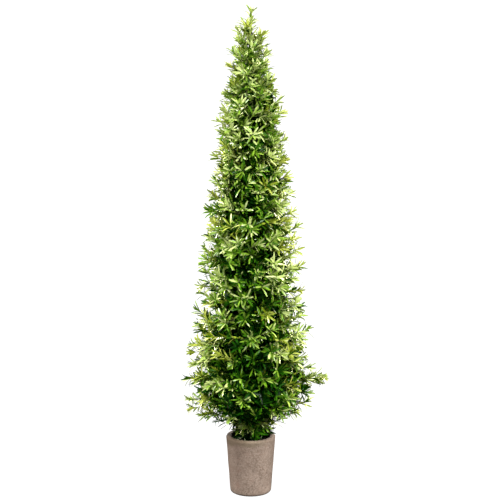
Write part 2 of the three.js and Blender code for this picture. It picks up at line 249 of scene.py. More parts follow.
def worn_clay(point):
    """How far the clay stands in or out at a point of the pot."""
    uneven = UNEVENNESS * noise.noise(point * UNEVEN_SCALE)
    pit = max(0.0, noise.noise(point * PIT_SCALE) - PIT_FROM) / (1 - PIT_FROM)
    return uneven - PIT_DEPTH * pit


def make_pot():
    foot_centre = (FOOT_RADIUS - FOOT_ROUND, FOOT_ROUND)
    rim_height = POT_HEIGHT - RIM_ROUND
    outer_rim = (RIM_RADIUS - RIM_ROUND, rim_height)
    inner_rim = (INNER_RIM_RADIUS + RIM_ROUND, rim_height)
    right = math.pi / 2
    profile = line((FLAT_STEP, 0), (foot_centre[0], 0), FLAT_STEP)
    underside = len(profile) + 1
    profile += arc(foot_centre, FOOT_ROUND, -right, -SIDE_LEAN, POT_STEP)
    side_top = arc(outer_rim, RIM_ROUND, -SIDE_LEAN, right, POT_STEP)
    profile += line(profile[-1], side_top[0], POT_STEP)[1:]
    profile += side_top
    inside_top = arc(inner_rim, RIM_ROUND, right, math.pi - SIDE_LEAN, POT_STEP)
    profile += line(side_top[-1], inside_top[0], POT_STEP)[1:]
    profile += inside_top
    floor_edge = (pot_inner_radius(POT_FLOOR), POT_FLOOR)
    profile += line(inside_top[-1], floor_edge, FLAT_STEP)[1:]
    profile += line(floor_edge, (FLAT_STEP, POT_FLOOR), FLAT_STEP)
    rings = turned(profile, POT_SIDES)
    for ring in rings[underside:]:
        for point in ring:
            out = Vector((point[0], point[1], 0)).normalized()
            point += np.array(out * worn_clay(Vector(point)))
    return skin("stoneware_pot", rings)


pot = make_pot()
pot.data.materials.append(stoneware_finish())
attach(pot, "root")
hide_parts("pot")


# Earth: near-black potting earth that fills the pot to a little below the rim.
# Its surface is lumpy, and loose crumbs lie all over it.
EARTH_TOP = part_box("earth")[1].z
EARTH_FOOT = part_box("earth")[0].z
EARTH_CROWN = 0.003
EARTH_GAP = 0.0003
EARTH_SIDES = 96
EARTH_STEP = 0.0016
LUMP_HEIGHT = 0.0022
LUMP_SCALE = 120
LUMP_SINK = 0.9
CLOD_SCALE = 330
CLOD_SHARE = 0.6
EARTH_DARK = (0.0016, 0.0011, 0.0006, 1)
EARTH_PALE = (0.010, 0.0066, 0.0036, 1)
EARTH_CLODS = (260, 0.4, 0.7)
CRUMB_COUNT = 900
CRUMB_RADIUS = 0.0017
CRUMB_LEAST = (0.4, 0.4, 0.3)
CRUMB_MOST = (1.5, 1.3, 0.9)
CRUMB_TURNS = (6.28, 6.28, 6.28)
CRUMB_UPWARD = 0.3
CRUMB_LOWEST = 0.1
CRUMB_SEED = 3


def earth_finish():
    finish = new_finish("potting_earth", Roughness=0.97, Specular_IOR_Level=0.05)
    tree = finish.node_tree
    place = add_node(tree, "ShaderNodeTexCoord").outputs["Object"]
    clods = mottle(tree, place, *EARTH_CLODS)
    earth_colour = blend_colours(tree, clods, EARTH_DARK, EARTH_PALE)
    coat(finish, earth_colour, Strength=0.7, Distance=0.001, Height=clods)
    return finish


def make_earth():
    edge_height = EARTH_TOP - EARTH_CROWN
    edge_radius = pot_inner_radius(edge_height) - EARTH_GAP
    foot_radius = pot_inner_radius(EARTH_FOOT) - EARTH_GAP
    profile = line((FLAT_STEP, EARTH_FOOT), (foot_radius, EARTH_FOOT), FLAT_STEP)
    profile += line((foot_radius, EARTH_FOOT), (edge_radius, edge_height), FLAT_STEP)
    top_from = len(profile)
    profile += line((edge_radius, edge_height), (INNER_RIM_RADIUS / 2, EARTH_TOP), EARTH_STEP)
    profile += line((INNER_RIM_RADIUS / 2, EARTH_TOP), (EARTH_STEP, EARTH_TOP), EARTH_STEP)
    rings = turned(profile, EARTH_SIDES)
    for ring in rings[top_from:]:
        for point in ring:
            place = Vector(point)
            lump = noise.noise(place * LUMP_SCALE) + CLOD_SHARE * noise.noise(place * CLOD_SCALE)
            point[2] += LUMP_HEIGHT * (lump - LUMP_SINK)
    return skin("potting_earth", rings)


def new_growth(name, **inputs):
    """A tree that grows one shape from named inputs, and the sockets of those inputs."""
    tree = bpy.data.node_groups.new(name, "GeometryNodeTree")
    for socket, kind in inputs.items():
        tree.interface.new_socket(socket, in_out="INPUT", socket_type="NodeSocket" + kind)
    tree.interface.new_socket("Grown", in_out="OUTPUT", socket_type="NodeSocketGeometry")
    return tree, add_node(tree, "NodeGroupInput").outputs


def crumb_tree():
    """Loose crumbs dealt out over the upward faces of a surface."""
    tree, given = new_growth(
        "crumbs", Surface="Geometry", Count="Float", Radius="Float", Seed="Int", Finish="Material"
    )

    def over(measure, least):
        sockets = {0: measure, 1: least}
        return add_node(tree, "FunctionNodeCompare", sockets, operation="GREATER_THAN").outputs[0]

    normal = add_node(tree, "GeometryNodeInputNormal").outputs[0]
    upward = add_node(tree, "ShaderNodeSeparateXYZ", {0: normal}).outputs["Z"]
    place = add_node(tree, "GeometryNodeInputPosition").outputs[0]
    level = add_node(tree, "ShaderNodeSeparateXYZ", {0: place}).outputs["Z"]
    on_top = {0: over(upward, CRUMB_UPWARD), 1: over(level, CRUMB_LOWEST)}
    where = add_node(tree, "FunctionNodeBooleanMath", on_top, operation="AND").outputs[0]
    dealt = add_node(
        tree,
        "GeometryNodeDistributePointsOnFaces",
        {"Mesh": given["Surface"], "Selection": where, "Density": given["Count"], "Seed": given["Seed"]},
    )
    lump = add_node(tree, "GeometryNodeMeshIcoSphere", {"Radius": given["Radius"], "Subdivisions": 1})
    turn = add_node(
        tree, "FunctionNodeRandomValue", {0: (0, 0, 0), 1: CRUMB_TURNS}, data_type="FLOAT_VECTOR"
    )
    size = add_node(
        tree, "FunctionNodeRandomValue", {0: CRUMB_LEAST, 1: CRUMB_MOST}, data_type="FLOAT_VECTOR"
    )
    crumbs = add_node(
        tree,
        "GeometryNodeInstanceOnPoints",
        {
            "Points": dealt.outputs["Points"],
            "Instance": lump.outputs["Mesh"],
            "Rotation": turn.outputs[0],
            "Scale": size.outputs[0],
        },
    )
    loose = add_node(tree, "GeometryNodeRealizeInstances", {0: crumbs.outputs[0]}).outputs[0]
    finished = add_node(tree, "GeometryNodeSetMaterial", {"Geometry": loose, "Material": given["Finish"]})
    add_node(tree, "NodeGroupOutput", {0: finished.outputs[0]})
    return tree


def grown(name, host, tree, sizes):
    """A piece made by running a node tree on a host mesh, kept as a plain mesh."""
    piece = bpy.data.objects.new(name, host)
    bpy.context.scene.collection.objects.link(piece)
    modifier = piece.modifiers.new("growth", "NODES")
    modifier.node_group = tree
    for socket in tree.interface.items_tree:
        if socket.in_out == "INPUT" and socket.name in sizes:
            modifier[socket.identifier] = sizes[socket.name]
    evaluated = piece.evaluated_get(bpy.context.evaluated_depsgraph_get())
    mesh = bpy.data.meshes.new_from_object(evaluated)
    piece.modifiers.remove(modifier)
    piece.data = mesh
    mesh.name = name
    return piece


earth = make_earth()
earth.data.materials.append(earth_finish())
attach(earth, "root")
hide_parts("earth")

crumbs_per_area = CRUMB_COUNT / (math.pi * INNER_RIM_RADIUS**2)
crumb_sizes = {"Count": crumbs_per_area, "Radius": CRUMB_RADIUS, "Seed": CRUMB_SEED}
crumb_sizes["Finish"] = earth.data.materials[0]
crumbs = grown("earth_crumbs", earth.data, crumb_tree(), crumb_sizes)
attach(crumbs, "root")


# Trunk: one slim pole from its flat cut on the earth to its tip under the leader, with a flared foot.
# Its olive-brown bark has long shallow ridges that run up the pole.
TRUNK_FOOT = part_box("trunk")[0].z
TRUNK_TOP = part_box("trunk")[1].z
TRUNK_LENGTH = TRUNK_TOP - TRUNK_FOOT
TRUNK_FOOT_RADIUS = 0.0095
TRUNK_TOP_RADIUS = 0.003
ROOT_FLARE = 0.0045
ROOT_FLARE_HEIGHT = 0.026
FLARE_FADE = 3
TRUNK_SWAY = 0.004
# Share of the length, then the sway to the right and to the back
TRUNK_BENDS = (
    (0, 0, 0),
    (0.03, 0, 0),
    (0.35, 1, 0.5),
    (0.68, -0.5, -0.5),
    (0.86, 0.5, 0),
    (0.96, -1, 0),
    (1, -1, 0),
)
TRUNK_SIDES = 40
TRUNK_RINGS = 380
BARK_RELIEF = 0.14
BARK_RELIEF_MIDDLE = 0.4
RIDGES_AROUND = 3.2
RIDGES_ALONG = 34
BARK_DARK = (0.018, 0.014, 0.006, 1)
BARK_PALE = (0.085, 0.075, 0.026, 1)
BARK_GREEN = (0.05, 0.065, 0.014, 1)
BARK_STRETCH = (1, 1, 0.16)
BARK_RIDGES = (420, 0.35, 0.65)
BARK_STAINS = (45, 0.4, 0.65)
BARK_STAIN_SHARE = 0.5


def trunk_point(share):
    """A point on the trunk's axis, eased from each bend to the next."""
    stations, east, north = np.array(TRUNK_BENDS).T
    after = min(np.searchsorted(stations, share, side="right"), len(stations) - 1)
    part = (share - stations[after - 1]) / (stations[after] - stations[after - 1])
    eased = part * part * (3 - 2 * part)
    x = east[after - 1] + (east[after] - east[after - 1]) * eased
    y = north[after - 1] + (north[after] - north[after - 1]) * eased
    return np.array((x * TRUNK_SWAY, y * TRUNK_SWAY, TRUNK_FOOT + share * TRUNK_LENGTH))


def trunk_radius(share):
    flare = ROOT_FLARE * math.exp(-FLARE_FADE * share * TRUNK_LENGTH / ROOT_FLARE_HEIGHT)
    return TRUNK_FOOT_RADIUS + (TRUNK_TOP_RADIUS - TRUNK_FOOT_RADIUS) * share + flare


def bark_finish():
    finish = new_finish("bark", Roughness=0.82, Specular_IOR_Level=0.3)
    tree = finish.node_tree
    place = add_node(tree, "ShaderNodeTexCoord").outputs["Object"]
    drawn_out = add_node(tree, "ShaderNodeMapping", {"Vector": place, "Scale": BARK_STRETCH}).outputs[0]
    ridges = mottle(tree, drawn_out, *BARK_RIDGES)
    stained = times(tree, mottle(tree, place, *BARK_STAINS), BARK_STAIN_SHARE)
    bark_colour = blend_colours(tree, ridges, BARK_DARK, BARK_PALE)
    bark_colour = blend_colours(tree, stained, bark_colour, BARK_GREEN)
    coat(finish, bark_colour, Strength=0.6, Distance=0.0006, Height=ridges)
    return finish


def make_trunk():
    turns = np.linspace(0, 2 * math.pi, TRUNK_SIDES, endpoint=False)
    rings = np.zeros((TRUNK_RINGS, TRUNK_SIDES, 3))
    for step, share in enumerate(np.linspace(0, 1, TRUNK_RINGS)):
        centre = trunk_point(share)
        radius = trunk_radius(share)
        for side, turn in enumerate(turns):
            out = np.array((math.cos(turn), math.sin(turn), 0))
            place = (RIDGES_AROUND * out[0], RIDGES_AROUND * out[1], RIDGES_ALONG * centre[2])
            relief = BARK_RELIEF * (noise.noise(Vector(place)) - BARK_RELIEF_MIDDLE)
            rings[step, side] = centre + out * radius * (1 + relief)
    return skin("trunk_bark", rings)


bark = bark_finish()
trunk = make_trunk()
trunk.data.materials.append(bark)
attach(trunk, "root")
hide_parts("trunk")


# Boughs: short barked limbs that leave the trunk on a golden-angle spiral, three more at its foot, and the
# leader. Each carries one mass of foliage, and rises more steeply the higher it stands.
PLANT_HEIGHT = 1.524
# Height and radius
CROWN_OUTLINE = (
    (0.190, 0.056),
    (0.222, 0.074),
    (0.240, 0.105),
    (0.290, 0.188),
    (0.362, 0.222),
    (0.460, 0.197),
    (0.620, 0.172),
    (0.930, 0.147),
    (1.237, 0.107),
    (1.387, 0.066),
    (1.476, 0.040),
    (PLANT_HEIGHT, 0),
)
CROWN_FOOT = CROWN_OUTLINE[0][0]
RISE_AT_FOOT = -8
RISE_AT_TOP = 62
RISE_POWER = 1.5
STEM_LIFT = math.radians(16)
GOLDEN_ANGLE = math.pi * (3 - math.sqrt(5))
SEED = 41
BOUGH_COUNT = 20
BOUGH_LOWEST = 0.258
BOUGH_HIGHEST = 1.420
FOOT_COUNT = 3
FOOT_HEIGHT = 0.230
FOOT_TURN = math.pi / 5
ROOT_CLEARANCE = 0.0075
LOWEST_ROOT = POT_HEIGHT + ROOT_CLEARANCE
SITE_SHARE = 0.5
STEM_SHARE = 0.34
STEM_KNEE = 0.6
LEADER_SITE = 1.452
BOUGH_TAPER = (0.0042, 0.0024)
BOUGH_POINTS = 10
BOUGH_SIDES = 12
BOUGH_RELIEF = 0.0012
SPRAY_LENGTH = 0.068
SPRAY_SHORTEST = 0.040
SPRAY_SHARE = 0.6
CROWN_SLICES = 600


def crown_reach(height):
    heights, radii = np.array(CROWN_OUTLINE).T
    return np.interp(height, heights, radii)


def rise_at(height):
    share = np.clip((height - CROWN_FOOT) / (PLANT_HEIGHT - CROWN_FOOT), 0, 1)
    return np.radians(RISE_AT_FOOT + (RISE_AT_TOP - RISE_AT_FOOT) * share**RISE_POWER)


def outward(azimuth):
    return np.array((math.cos(azimuth), math.sin(azimuth), 0))


def even_heights(count, lowest, highest, shortest=SPRAY_SHORTEST, longest=SPRAY_LENGTH):
    """Heights that cut the crown's surface into equal shares, measured in sprays."""
    slices = np.linspace(lowest, highest, CROWN_SLICES)
    reach = crown_reach(slices)
    area = np.cumsum(reach / np.clip(SPRAY_SHARE * reach, shortest, longest) ** 2)
    return np.interp((np.arange(count) + 0.5) / count * area[-1], area, slices)


def bend(root, knee, end, share):
    """A point on the curve that leaves root towards knee and comes to end."""
    return (1 - share) ** 2 * root + 2 * share * (1 - share) * knee + share**2 * end


def make_bough(height, azimuth):
    reach = crown_reach(height)
    out = outward(azimuth)
    end = STEM_SHARE * reach * out + (0, 0, height)
    drop = STEM_SHARE * reach * math.tan(rise_at(height) + STEM_LIFT)
    root = trunk_point((max(height - drop, LOWEST_ROOT) - TRUNK_FOOT) / TRUNK_LENGTH)
    knee = STEM_SHARE * reach / 2 * out + (0, 0, root[2] + (height - root[2]) * STEM_KNEE)
    return {"site": SITE_SHARE * reach * out + (0, 0, height), "curve": (root, knee, end)}


def make_leader():
    foot = trunk_point(1)
    site = np.array((0, 0, LEADER_SITE))
    knee = np.array((foot[0], foot[1], foot[2] + (LEADER_SITE - foot[2]) * STEM_KNEE))
    return {"site": site, "curve": (foot, knee, site)}


def paths_mesh(name, paths, girth):
    """Chains of edges along paths of points, with the limb's radius kept at each point."""
    mesh = bpy.data.meshes.new(name)
    points = np.vstack(paths)
    ends = set(np.cumsum([len(path) for path in paths]))
    edges = [(i, i + 1) for i in range(len(points) - 1) if i + 1 not in ends]
    mesh.from_pydata(points.tolist(), edges, [])
    girths = mesh.attributes.new("girth", "FLOAT", "POINT")
    girths.data.foreach_set("value", np.tile(girth, len(paths)))
    return mesh


def limb_tree():
    """Round tapering limbs along chains of edges, with a ridged bark."""
    tree, given = new_growth("limbs", Paths="Geometry", Sides="Int", Relief="Float", Finish="Material")
    paths = add_node(tree, "GeometryNodeMeshToCurve", {"Mesh": given["Paths"]}).outputs[0]
    girth = add_node(tree, "GeometryNodeInputNamedAttribute", {"Name": "girth"}).outputs["Attribute"]
    ring = {"Resolution": given["Sides"], "Radius": 1.0}
    section = add_node(tree, "GeometryNodeCurvePrimitiveCircle", ring).outputs[0]
    rounded = add_node(
        tree,
        "GeometryNodeCurveToMesh",
        {"Curve": paths, "Profile Curve": section, "Scale": girth, "Fill Caps": True},
    )
    ridges = add_node(tree, "ShaderNodeTexNoise", {"Scale": 260.0, "Detail": 1.0}).outputs["Fac"]
    normal = add_node(tree, "GeometryNodeInputNormal").outputs[0]
    swelling = {0: normal, "Scale": times(tree, ridges, given["Relief"])}
    offset = add_node(tree, "ShaderNodeVectorMath", swelling, operation="SCALE").outputs[0]
    barked = add_node(tree, "GeometryNodeSetPosition", {"Geometry": rounded.outputs[0], "Offset": offset})
    smooth = add_node(tree, "GeometryNodeSetShadeSmooth", {"Geometry": barked.outputs[0]}).outputs[0]
    whole = add_node(tree, "GeometryNodeRealizeInstances", {0: smooth}).outputs[0]
    finished = add_node(tree, "GeometryNodeSetMaterial", {"Geometry": whole, "Material": given["Finish"]})
    add_node(tree, "NodeGroupOutput", {0: finished.outputs[0]})
    return tree


def grow_wood(name, stems, points, taper, sizes):
    """Limbs along the curves of stems, with a taper from the radius at the foot to that at the tip."""
    shares = np.linspace(0, 1, points)
    paths = [np.array([bend(*stem["curve"], share) for share in shares]) for stem in stems]
    girth = taper[0] + (taper[1] - taper[0]) * shares
    return grown(name, paths_mesh(name + "_paths", paths, girth), limbs, sizes)


limbs = limb_tree()
foliage_nodes = [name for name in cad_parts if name.startswith("foliage")]
boughs = [make_bough(FOOT_HEIGHT, FOOT_TURN + i * 2 * math.pi / FOOT_COUNT) for i in range(FOOT_COUNT)]
for i, height in enumerate(even_heights(BOUGH_COUNT, BOUGH_LOWEST, BOUGH_HIGHEST)):
    boughs.append(make_bough(height, i * GOLDEN_ANGLE))
leader = make_leader()
boughs.append(leader)

bough_sizes = {"Sides": BOUGH_SIDES, "Relief": BOUGH_RELIEF, "Finish": bark}
bough_wood = grow_wood("boughs", boughs, BOUGH_POINTS, BOUGH_TAPER, bough_sizes)
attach(bough_wood, "root")
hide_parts(*foliage_nodes)


# Twigs: slim barked stems that fork from the boughs and run out to the crown's outline, on a finer spiral.
# Each bends a little as it turns to the rise that its height gives.
TWIG_COUNT = 118
TWIG_HIGHEST = 1.486
TIP_SHORTFALL = 0.022
# Height, azimuth and reach
LONG_SPRAYS = ((0.365, 0, 0.243), (0.282, 0.92 * math.pi, 0.212))
SPROUT_LOWEST = 0.5
NECK_HIGHEST = 0.250
NECK_LIMIT = 0.068
TWIG_TAPER = (0.0019, 0.0011)
TWIG_POINTS = 8
TWIG_SIDES = 6
TWIG_RELIEF = 0.0004
TWIG_KNEE = 0.5
TIP_LEAF = 0.026
LEADER_LEAF = 0.021
RANDOM_FACTOR = 1664525
RANDOM_STEP = 1013904223
RANDOM_RANGE = 2**32


def seeded(seed):
    """Repeatable random numbers from 0 to 1."""
    state = seed
    while True:
        state = (state * RANDOM_FACTOR + RANDOM_STEP) % RANDOM_RANGE
        yield state / RANDOM_RANGE


def heading_at(height, azimuth, lift=0.0):
    rise = rise_at(height) + lift
    return outward(azimuth) * math.cos(rise) + (0, 0, math.sin(rise))


def tip_at(height, azimuth, reach, heading):
    """Where a stem ends, so that its last leaf ends at a reach."""
    return reach * outward(azimuth) + (0, 0, height) - TIP_LEAF * heading


def make_twig(bough, sprout, tip, heading):
    """A twig from a share of its bough to a tip, where it points along its heading."""
    start = bend(*bough["curve"], sprout)
    knee = tip - heading * np.linalg.norm(tip - start) * TWIG_KNEE
    return {"curve": (start, knee, tip), "heading": heading}


def grow_tip(height, azimuth, reach, sprout):
    """A twig whose last leaf ends at a reach, from the bough whose mass is nearest."""
    middle = SITE_SHARE * reach * outward(azimuth) + (0, 0, height)
    owner = min(boughs, key=lambda bough: np.linalg.norm(bough["site"] - middle))
    heading = heading_at(height, azimuth)
    return make_twig(owner, sprout, tip_at(height, azimuth, reach, heading), heading)


tip_random = seeded(SEED)
leader_tip = np.array((0, 0, PLANT_HEIGHT - LEADER_LEAF))
twigs = [make_twig(leader, SPROUT_LOWEST, leader_tip, np.array((0, 0, 1.0)))]
twigs += [grow_tip(*spray, 1) for spray in LONG_SPRAYS]
for i, height in enumerate(even_heights(TWIG_COUNT, CROWN_FOOT, TWIG_HIGHEST)):
    reach = crown_reach(height) - TIP_SHORTFALL * next(tip_random) ** 2
    sprout = SPROUT_LOWEST + (1 - SPROUT_LOWEST) * next(tip_random)
    if height <= NECK_HIGHEST:
        reach = min(reach, NECK_LIMIT)
    twigs.append(grow_tip(height, i * GOLDEN_ANGLE, reach, sprout))

twig_sizes = {"Sides": TWIG_SIDES, "Relief": TWIG_RELIEF, "Finish": bark}
twig_wood = grow_wood("twigs", twigs, TWIG_POINTS, TWIG_TAPER, twig_sizes)
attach(twig_wood, "root")
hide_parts(*foliage_nodes)


# Shoots: thin green stems that branch from the twigs and the trunk's foot, on the finest spiral of all.
# Long sprays stand out at the crown's outline, and shorter ones fill in behind them and in the dark depth.
# The skirt's foot arches up at the front and the back.
SPRAY_COUNT = 290
FILL_COUNT = 620
INNER_COUNT = 540
NECK_COUNT = 48
NECK_LOW_COUNT = 12
SPRAY_SEED = 3
FILL_SEED = 5
INNER_SEED = 11
NECK_SEED = 2
OUTER_LOWEST = 0.250
SPRAY_HIGHEST = 1.445
FILL_HIGHEST = 1.360
INNER_LOWEST = 0.285
INNER_HIGHEST = 1.280
SKIRT_ARCH = 0.040
SKIRT_ARCH_FADE = 0.14
SPRAY_SHORTFALL = (0.006, 0.050)
MIDDLE_SHORTFALL = (-0.013, 0.034)
CROWN_MIDDLE = (0.48, 0.92)
FILL_SHORTFALL = (0.036, 0.104)
FULL_SHORTFALL_REACH = 0.20
SKIRT_FOOT = 0.280
# Height, azimuth and reach
SIDE_SPRAYS = (
    (0.365, 0, 0.248),
    (0.350, 0.05 * math.pi, 0.238),
    (0.382, -0.04 * math.pi, 0.244),
    (0.250, 0.02 * math.pi, 0.166),
    (0.300, 1.02 * math.pi, 0.214),
    (0.262, 0.97 * math.pi, 0.210),
    (0.250, 1.04 * math.pi, 0.174),
    (0.468, 0.02 * math.pi, 0.182),
    (0.440, -0.04 * math.pi, 0.188),
    (0.474, 1.01 * math.pi, 0.204),
    (0.446, 0.97 * math.pi, 0.208),
    (1.400, 1.02 * math.pi, 0.066),
    (1.464, math.pi, 0.048),
    (1.436, 0.04 * math.pi, 0.036),
    (1.492, 0.06 * math.pi, 0.012),
    (1.484, 0.95 * math.pi, 0.030),
    (0.238, -0.08 * math.pi, 0.084),
    (0.226, -0.03 * math.pi, 0.078),
)
INNER_REACH = (0.35, 0.72)
SHOOT_LENGTH = 0.070
SHOOT_TAPER = (0.0011, 0.0007)
SHOOT_POINTS = 6
SHOOT_SIDES = 4
SHOOT_KNEE = 0.6
HEADING_JITTER = 0.30
LEAST_OUTWARD = 0.6
NECK_LOWEST = 0.200
NECK_REACH = (0.55, 1.08)
SHOOT_RISE = math.radians(32)
SHOOT_LEVELLING = 1.3
NECK_RISE = math.radians(-6)
WOOD_POINTS = 12
TWIG_PART = (0.1, 1)
TRUNK_PART = (0.005, 0.06)
STEM_DARK = (0.035, 0.05, 0.008, 1)
STEM_PALE = (0.10, 0.115, 0.02, 1)
STEM_BANDS = (90, 0.35, 0.65)


def make_shoot(tip, heading, depth=0.0):
    """A shoot from the nearest point of the twigs to a tip, where it points along its heading."""
    back = tip - heading * SHOOT_LENGTH
    start = twig_points[np.argmin(np.linalg.norm(twig_points - back, axis=1))]
    knee = tip - heading * np.linalg.norm(tip - start) * SHOOT_KNEE
    return {"curve": (start, knee, tip), "depth": depth}


def make_shoots(heights, seed, radius_at, arch=0.0):
    """Shoots whose tips lie on a golden-angle spiral, each at its own share of the crown's reach."""
    dealt = np.random.default_rng(seed)
    made = []
    for i, height in enumerate(heights):
        azimuth = i * GOLDEN_ANGLE + seed
        near_foot = max(0, 1 - (height - OUTER_LOWEST) / SKIRT_ARCH_FADE)
        height += arch * near_foot * math.sin(azimuth) ** 2
        neck = np.clip((NECK_HIGHEST - height) / (NECK_HIGHEST - NECK_LOWEST), 0, 1)
        lift = SHOOT_RISE * (1 - SHOOT_LEVELLING * height / PLANT_HEIGHT)
        heading = heading_at(height, azimuth, lift + NECK_RISE * neck)
        out = outward(azimuth)
        least = LEAST_OUTWARD * heading @ out
        heading += dealt.normal(0, HEADING_JITTER, 3)
        heading += out * max(0, least - heading @ out)
        heading /= np.linalg.norm(heading)
        radius = radius_at(height, dealt)
        depth = (outer_reach(height) - radius) / FILL_SHORTFALL[1]
        made.append(make_shoot(tip_at(height, azimuth, radius, heading), heading, depth))
    return made


def outer_reach(height):
    return crown_reach(max(height, SKIRT_FOOT))


def spray_radius(height, dealt):
    reach = outer_reach(height)
    in_middle = CROWN_MIDDLE[0] < height < CROWN_MIDDLE[1]
    shortfall = dealt.uniform(*(MIDDLE_SHORTFALL if in_middle else SPRAY_SHORTFALL))
    return reach - shortfall * min(1, reach / FULL_SHORTFALL_REACH)


def fill_radius(height, dealt):
    reach = outer_reach(height)
    return reach - dealt.uniform(*FILL_SHORTFALL) * min(1, reach / FULL_SHORTFALL_REACH)


def inner_radius(height, dealt):
    return crown_reach(height) * dealt.uniform(*INNER_REACH)


def neck_radius(height, dealt):
    return min(crown_reach(height) * dealt.uniform(*NECK_REACH), NECK_LIMIT)


twig_shares = np.linspace(*TWIG_PART, WOOD_POINTS)
twig_points = [[bend(*twig["curve"], share) for share in twig_shares] for twig in twigs]
twig_points.append([trunk_point(share) for share in np.linspace(*TRUNK_PART, WOOD_POINTS)])
twig_points = np.vstack(twig_points)
tip_shoots = [make_shoot(twig["curve"][2], twig["heading"]) for twig in twigs]
for height, azimuth, reach in SIDE_SPRAYS:
    heading = heading_at(height, azimuth)
    tip_shoots.append(make_shoot(tip_at(height, azimuth, reach, heading), heading))
even_rosettes = {"shortest": SPRAY_LENGTH, "longest": SPRAY_LENGTH}
spray_heights = even_heights(SPRAY_COUNT, OUTER_LOWEST, SPRAY_HIGHEST, **even_rosettes)
fill_heights = even_heights(FILL_COUNT, OUTER_LOWEST, FILL_HIGHEST, **even_rosettes)
inner_heights = even_heights(INNER_COUNT, INNER_LOWEST, INNER_HIGHEST, **even_rosettes)
neck_heights = np.linspace(NECK_LOWEST, NECK_HIGHEST, NECK_COUNT)
outer_shoots = make_shoots(spray_heights, SPRAY_SEED, spray_radius, SKIRT_ARCH) + tip_shoots
outer_shoots += make_shoots(fill_heights, FILL_SEED, fill_radius, SKIRT_ARCH)
neck_shoots = make_shoots(neck_heights, NECK_SEED, neck_radius)
inner_shoots = make_shoots(inner_heights, INNER_SEED, inner_radius)


def shoot_finish():
    finish = new_finish("green_stem", Roughness=0.6, Specular_IOR_Level=0.35)
    tree = finish.node_tree
    place = add_node(tree, "ShaderNodeTexCoord").outputs["Object"]
    coat(finish, blend_colours(tree, mottle(tree, place, *STEM_BANDS), STEM_DARK, STEM_PALE))
    return finish


all_shoots = outer_shoots + neck_shoots + inner_shoots
shoot_sizes = {"Sides": SHOOT_SIDES, "Relief": 0.0, "Finish": shoot_finish()}
shoot_wood = grow_wood("shoot_stems", all_shoots, SHOOT_POINTS, SHOOT_TAPER, shoot_sizes)
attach(shoot_wood, "root")
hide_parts(*foliage_nodes)


# Leaves: moulded strap leaves with a blunt tip, keeled along the middle and arched back from the stem.
# They stand round each shoot in a spiral and close up to a rosette at its tip, brightest where youngest.
# Their tints also hold painted light at the crown's sides and on the neck, and painted shade deep inside and
# in the pot's mouth.
LEAF_LENGTH = 0.037
LEAF_WIDTH = 0.0064
LEAF_ARCH = 0.20
LEAF_KEEL = 0.25
# Share of the length and of the width
LEAF_OUTLINE = ((0, 0.32), (0.25, 0.66), (0.65, 1), (0.9, 0.94), (1, 0.45))
STEM_LEAVES = 17
STEM_LEAF_GAP = 0.0048
STEM_LEAF_SIZE = 0.95
STEM_SPREAD = 62
STEM_CLOSING = 10
ROSETTE_LEAVES = 10
ROSETTE_DEPTH = 0.008
ROSETTE_SHRINKING = 0.3
ROSETTE_SPREAD = 64
ROSETTE_CLOSING = 46
STEM_ROOM = 1e-4
LENGTH_RANGE = (0.78, 1.15)
WIDTH_RANGE = (0.85, 1.12)
ARCH_RANGE = (0.1, 1.5)
SPREAD_JITTER = 0.15
TURN_JITTER = 0.35
# Where a seat's heading, turn, spread and blade begin in its row
SEAT_COLUMNS = (3, 6, 7, 8)
MOST_LEAVES = 11000
TINTS = {
    # The first, near-black tint is painted shade for the crown's dark depth
    "painted_shade_black": (0.0018, 0.017, 0.0005),
    "dark_green": (0.008, 0.052, 0.0012),
    "deep_green": (0.028, 0.102, 0.0026),
    "mid_green": (0.082, 0.182, 0.006),
    "fresh_green": (0.156, 0.282, 0.018),
    "yellow_green": (0.262, 0.392, 0.050),
    "lime": (0.452, 0.540, 0.176),
    "olive": (0.120, 0.162, 0.006),
    "gold": (0.246, 0.318, 0.020),
    "straw": (0.400, 0.460, 0.070),
}
# Warm tints, partly sun-bleached sprays and partly painted light at the crown's sides
SUNNED_AND_EDGE_LIT = {"mid_green": "olive", "fresh_green": "gold", "yellow_green": "straw", "lime": "straw"}
SHADES = [tint for tint in TINTS if tint not in SUNNED_AND_EDGE_LIT.values()]
SUNNED_AND_EDGE_LIT_SHARE = 0.34
SUNNED_AND_EDGE_LIT_AT_TOP = 0.4
OLD_TONE = 0.6
YOUNG_TONE = 6.2
TOP_TONE = 1.2
LEADER_TONE = -1.8
LEADER_FROM = 0.86
# The low neck shoots get dark tints as painted shade in the pot's mouth
NECK_LOW_SHADE_TONE = 0.4
# The upper neck shoots get pale tints as painted light under the skirt's shadow
NECK_LIGHT_TONE = 4.6
# Inner shoots get dark tints, partly older leaves and partly painted shade
INNER_SHADE_TONE = 0.4
SHOOT_VARIATION = 1.0
LEAF_VARIATION = 1.8
AGEING = 2.2
BRIGHTEST = len(SHADES) - 1
BRIGHTEST_LOW_SHADED = 2
BRIGHTEST_INNER_SHADED = 3
MOUTH_SHADE = 0.206
MOUTH_DARKENING = 3
NEAR_AXIS = 0.01
YOUNG_BY_HEIGHT = 0.9
# Deeper shoots get darker tints, partly older growth and partly painted shade
AGE_AND_SHADE_BY_DEPTH = 1.5
# Shoots at the crown's sides get brighter tints as painted light
EDGE_LIGHT_BY_SIDE = 0.64
YOUNG_FROM = 1.32
LEAST_GLOSS = 0.03
MOST_GLOSS = 0.85
OPENING = (0.5, 1.0)
TOP_FROM = 1.295
TOP_CLOSING = 0.15


def nearness_to_top(height):
    """A share from 0 at the foot of the crown's tip to 1 at its end."""
    return max(0, height - TOP_FROM) / (PLANT_HEIGHT - TOP_FROM)


